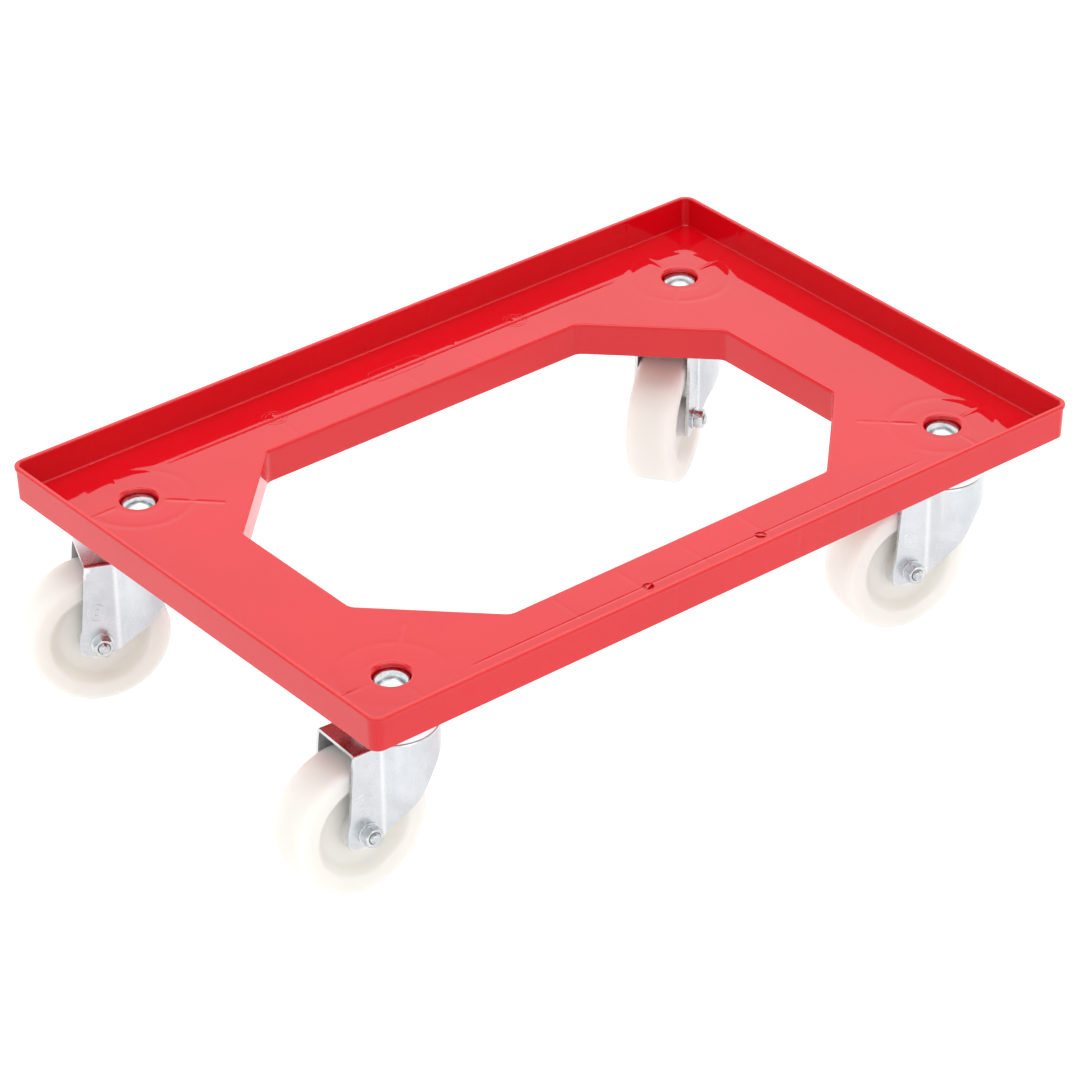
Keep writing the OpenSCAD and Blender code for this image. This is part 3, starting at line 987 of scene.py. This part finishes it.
def make_swivel_cap(corner):
    """Upper race: a round cap whose rim hangs just clear of the fork's crown."""
    rim = FORK_TOP + 0.06
    race = CAP_TOP - 2.6
    profile = [(CAP_BORE_R, FORK_TOP + 0.2), (CAP_BORE_R, WALL_BOTTOM), (16.6, WALL_BOTTOM)]
    profile += [(17.0, WALL_BOTTOM - 0.4), (17.0, CAP_TOP + 0.3), (17.4, CAP_TOP)]
    profile += [(28.0, CAP_TOP), (29.0, CAP_TOP - 0.3), (29.8, CAP_TOP - 1.0), (CAP_R, CAP_TOP - 2.0)]
    profile += [(CAP_R, FORK_TOP + 0.1), (CAP_R - 0.1, rim), (28.6, rim), (28.2, FORK_TOP + 0.4)]
    profile += [(28.2, race - 0.1), (24.0, race), (22.0, race), (16.0, race), (15.0, race)]
    profile += [(14.0, FORK_TOP + 0.3), (CAP_BORE_R, FORK_TOP + 0.2)]
    b = Builder()
    b.lathe(profile, 72)
    ob = b.object(f"swivel_cap_look_{corner}", tray_point(corner))
    weighted_normals(ob)
    return ob


# ---------------------------------------------------------------- fasteners


def hex_outline(af, count=72):
    """(radius, angle) pairs round a hexagon whose corners are slightly blunt."""
    sector = math.pi / 3
    corner = af / math.sqrt(3) - 0.12
    outline = []
    for i in range(count):
        angle = 2 * math.pi * i / count
        off_flat = (angle + sector / 2) % sector - sector / 2
        outline.append((min(af / 2 / math.cos(off_flat), corner), angle))
    return outline


def hex_ring(b, af, z):
    return b.loop([(r * math.cos(a), r * math.sin(a), z) for r, a in hex_outline(af)])


def chamfer_ring(b, af, start, z, side):
    """Where a cone cuts the hexagon's sides: below z with side 1, above it with side -1."""
    ring = []
    for r, a in hex_outline(af):
        drop = max(0.0, r - start) * math.tan(math.radians(CHAMFER_ANGLE))
        ring.append((r * math.cos(a), r * math.sin(a), z - side * drop))
    return b.loop(ring)


def add_hex_nut(b, af, height, bore):
    """Nut standing on z = 0, chamfered on both sides, with an eased bore."""
    start = af / 2 - 0.25
    rings = [b.loop(circle_loop(0, 0, start, 0.0, 72)), chamfer_ring(b, af, start, 0.0, -1)]
    rings += [chamfer_ring(b, af, start, height, 1), b.loop(circle_loop(0, 0, start, height, 72))]
    for r, z in ((bore + 0.7, height), (bore, height - 0.7), (bore, 0.0)):
        rings.append(b.loop(circle_loop(0, 0, r, z, 72)))
    rings.append(rings[0])
    b.skin(rings)


def add_hex_head(b, af, height, dish):
    """Bolt head standing on z = 0 whose middle is dished."""
    start = af / 2 - 0.25
    rings = [b.loop(circle_loop(0, 0, start, 0.0, 72)), hex_ring(b, af, 0.15)]
    rings += [chamfer_ring(b, af, start, height, 1), b.loop(circle_loop(0, 0, start, height, 72))]
    rings.append(b.loop(circle_loop(0, 0, start * 0.72, height - dish * 0.6, 72)))
    rings.append(b.loop(circle_loop(0, 0, start * 0.35, height - dish, 72)))
    b.skin(rings)
    b.fan(rings[-1], (0, 0, height - dish))
    b.face(rings[0])


def add_domed_head(b, r, height, dome):
    """Round head whose top is a low dome."""
    profile = [(r - 0.4, 0.0), (r, 0.4), (r, height - 0.3), (r - 0.15, height)]
    for i in range(1, 12):
        share = 1 - (i / 12)
        profile.append((r * share, height + dome * (1 - share * share)))
    rings = b.lathe(profile, 72)
    b.face(rings[0])
    b.fan(rings[-1], (0, 0, height + dome))


def add_threaded_end(b, r, z0, z1, pitch):
    """Helical thread up to a chamfered, slightly domed tip; z1 is the tip."""
    sides = 48
    rings_per_turn = 12
    steps = int((z1 - z0) / pitch * rings_per_turn)
    deepest = 0.44 * pitch
    rings = []
    for k in range(steps + 1):
        z = lerp(z0, z1 - 1.0, k / steps)
        ring = []
        for i in range(sides):
            phase = ((z - z0) / pitch - i / sides) % 1.0
            here = r - deepest * (1 - abs(2 * phase - 1))
            a = 2 * math.pi * i / sides
            ring.append((here * math.cos(a), here * math.sin(a), z))
        rings.append(b.loop(ring))
    for inset, drop in ((0.55, 0.7), (0.95, 0.25), (1.6, 0.06)):
        rings.append(b.loop(circle_loop(0, 0, r - inset, z1 - drop, sides)))
    b.skin(rings)
    b.fan(rings[-1], (0, 0, z1))
    b.face(rings[0])


def make_castor_bolts():
    """Four round heads with domed tops and their threaded shanks."""
    pieces = []
    for corner in CORNERS:
        place = tray_point(corner)
        b = Builder()
        add_domed_head(b, BOLT_HEAD_R, BOLT_HEAD_H, BOLT_DOME)
        pieces.append(b.object("bolt_head", place @ shift(0, 0, HEAD_Z)))
        b = Builder()
        b.rod(BOLT_R - 0.05, HEAD_Z + 0.2, THREAD_TOP)
        pieces.append(b.object("bolt_shank", place))
        b = Builder()
        add_threaded_end(b, BOLT_R, 0.0, THREAD_TOP - BOLT_TIP, BOLT_PITCH)
        pieces.append(b.object("bolt_thread", place @ shift(0, 0, THREAD_TOP) @ rotation(180, "X")))
    return join(pieces, "castor_bolts_look")


def make_axle_bolt(corner):
    b = Builder()
    add_hex_head(b, AXLE_AF, AXLE_HEAD_H, 0.3)
    head = b.object("axle_head", shift(0, 0, -FORK_HALF) @ rotation(180, "X"))
    b = Builder()
    add_threaded_end(b, AXLE_R, THREAD_START, AXLE_TIP, AXLE_PITCH)
    end = b.object("axle_end")
    b = Builder()
    b.rod(AXLE_R, -FORK_HALF, THREAD_START)
    rod = b.object("axle_rod")
    ob = join([head, end, rod], f"axle_bolt_look_{corner}")
    ob.data.transform(axle_matrix(corner))
    return ob


def make_axle_nut(corner):
    b = Builder()
    add_hex_nut(b, AXLE_AF, NUT_H, AXLE_R)
    seat = shift(0, 0, FORK_HALF + WASHER_T) @ rotation(NUT_TURN, "Z")
    ob = b.object(f"axle_nut_look_{corner}", axle_matrix(corner) @ seat)
    weighted_normals(ob)
    return ob


def make_axle_washer(corner):
    bore = AXLE_R + 0.2
    profile = [(bore, 0.1), (bore + 0.1, 0.0), (WASHER_R - 0.2, 0.0), (WASHER_R, 0.2)]
    profile += [(WASHER_R, WASHER_T - 0.25), (WASHER_R - 0.2, WASHER_T)]
    profile += [(bore + 0.2, WASHER_T), (bore, WASHER_T - 0.15), (bore, 0.1)]
    b = Builder()
    b.lathe(profile, 64)
    ob = b.object(f"axle_washer_look_{corner}", axle_matrix(corner) @ shift(0, 0, FORK_HALF))
    weighted_normals(ob)
    return ob


# ---------------------------------------------------------------- assembly


def dress(ob, material, slot, body, *nodes):
    """Gives a made piece its material and its body, and hides the CAD nodes that it stands for."""
    ob.data.materials.clear()
    ob.data.materials.append(material)
    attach(ob, body)
    if nodes:
        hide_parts(*nodes)


def paint_node(name, material):
    """Smooths a CAD node and gives it its material."""
    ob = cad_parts[name]
    ob.data.materials.clear()
    ob.data.materials.append(material)
    for p in ob.data.polygons:
        p.use_smooth = True
    mod = ob.modifiers.new("normals", "WEIGHTED_NORMAL")
    mod.keep_sharp = True


def build_trolley():
    red = red_plastic()
    white = nylon()
    zinc = zinc_plate()
    steel = bolt_steel()
    balls = ball_steel()
    dress(make_tray(), red, "red_plastic", "tray_body", "tray")
    dress(make_castor_bolts(), steel, "bolt_steel", "tray_body", "castor_bolts")
    paint_node("castor_bolt_washers", zinc)
    paint_node("castor_bolt_nuts", steel)
    for corner in CORNERS:
        fork_body = f"fork_body_{corner}"
        dress(make_fork(corner), zinc, "zinc_plate", fork_body, f"fork_{corner}")
        dress(make_leg_marks(corner), zinc, "zinc_plate", fork_body)
        dress(make_wheel(corner), white, "nylon", f"wheel_body_{corner}", f"wheel_{corner}")
        dress(make_axle_bolt(corner), steel, "bolt_steel", fork_body, f"axle_bolt_{corner}")
        dress(make_axle_nut(corner), steel, "bolt_steel", fork_body, f"axle_nut_{corner}")
        dress(make_axle_washer(corner), zinc, "zinc_plate", fork_body, f"axle_washer_{corner}")
        paint_node(f"axle_tube_{corner}", steel)
        dress(make_swivel_cap(corner), zinc, "zinc_plate", "tray_body", f"swivel_cap_{corner}")
        paint_node(f"lower_cup_{corner}", zinc)
        paint_node(f"kingpin_{corner}", steel)
        paint_node(f"upper_balls_{corner}", balls)
        paint_node(f"lower_balls_{corner}", balls)


# ---------------------------------------------------------------- stage

# In metres and degrees; the sky's levels are (height of the direction, grey)
FAR_SIDE = (0.64, 0.77, 0.0)
NEAR_LEVEL = 0.78
SKY_STRENGTH = 2.4
SKY_LEVELS = [(0.0, 0.62), (0.635, 0.62), (0.665, 0.20), (0.79, 0.20), (0.85, 0.92), (1.0, 0.98)]
FLOOR_HALF = 6.0
LIGHT_TARGET = (0, 0, 0.1)
CAMERA_PLACE = (-1.68135, -2.08828, 1.76103)
CAMERA_ANGLES = (57.9721, 0.1702, -39.9797)


def area_light(name, place, size, power):
    """Soft light that faces the trolley."""
    data = bpy.data.lights.new(name, "AREA")
    data.shape = "RECTANGLE"
    data.size = size[0]
    data.size_y = size[1]
    data.energy = power
    ob = bpy.data.objects.new(name, data)
    ob.location = place
    ob.rotation_euler = (Vector(LIGHT_TARGET) - Vector(place)).to_track_quat("-Z", "Y").to_euler()
    bpy.context.scene.collection.objects.link(ob)


def sky_by_height(tree, direction):
    """Grey levels from the horizon up, with a dim gap below the bright ceiling."""
    place = tree.nodes.new("ShaderNodeSeparateXYZ")
    ramp = tree.nodes.new("ShaderNodeValToRGB")
    tree.links.new(direction, place.inputs["Vector"])
    tree.links.new(place.outputs["Z"], ramp.inputs["Fac"])
    stops = ramp.color_ramp.elements
    stops[0].position = SKY_LEVELS[0][0]
    stops[1].position = SKY_LEVELS[-1][0]
    for position, _ in SKY_LEVELS[1:-1]:
        stops.new(position)
    for stop, (position, grey) in zip(stops, SKY_LEVELS):
        stop.position = position
        stop.color = (grey, grey, grey, 1.0)
    return ramp.outputs["Color"]


def sky_by_side(tree, direction):
    """1 on the far side, less on the near side."""
    far_side = tree.nodes.new("ShaderNodeVectorMath")
    far_side.operation = "DOT_PRODUCT"
    far_side.inputs[1].default_value = FAR_SIDE
    tree.links.new(direction, far_side.inputs[0])
    fade = tree.nodes.new("ShaderNodeMapRange")
    fade.inputs["From Min"].default_value = 0.1
    fade.inputs["From Max"].default_value = 0.6
    fade.inputs["To Min"].default_value = NEAR_LEVEL
    tree.links.new(far_side.outputs["Value"], fade.inputs["Value"])
    return fade.outputs["Result"]


def build_sky():
    """White studio, brightest on the far side."""
    world = bpy.data.worlds.new("studio")
    world.use_nodes = True
    tree = world.node_tree
    back = tree.nodes["Background"]
    direction = tree.nodes.new("ShaderNodeTexCoord").outputs["Generated"]
    level = tree.nodes.new("ShaderNodeVectorMath")
    level.operation = "SCALE"
    tree.links.new(sky_by_height(tree, direction), level.inputs[0])
    tree.links.new(sky_by_side(tree, direction), level.inputs["Scale"])
    tree.links.new(level.outputs["Vector"], back.inputs["Color"])
    back.inputs["Strength"].default_value = SKY_STRENGTH
    bpy.context.scene.world = world
    bpy.context.scene.view_settings.view_transform = "Standard"


def build_floor():
    bm = bmesh.new()
    bmesh.ops.create_grid(bm, x_segments=8, y_segments=8, size=FLOOR_HALF)
    mesh = bpy.data.meshes.new("floor")
    bm.to_mesh(mesh)
    bm.free()
    floor = bpy.data.objects.new("floor", mesh)
    floor.data.materials.append(pale_floor())
    bpy.context.scene.collection.objects.link(floor)


def build_camera():
    data = bpy.data.cameras.new("camera")
    data.sensor_width = 36.0
    data.lens = 150.83
    data.shift_x = -0.0704
    data.shift_y = -0.0016
    data.clip_end = 50.0
    ob = bpy.data.objects.new("camera", data)
    turn = Euler([math.radians(a) for a in CAMERA_ANGLES])
    ob.matrix_world = Matrix.LocRotScale(Vector(CAMERA_PLACE), turn, None)
    bpy.context.scene.collection.objects.link(ob)
    bpy.context.scene.camera = ob


build_trolley()
build_sky()
build_floor()
area_light("key", (-0.2, -2.6, 1.1), (1.6, 1.5), 7)
area_light("top", (0.0, 0.0, 2.8), (2.0, 2.0), 14)
build_camera()
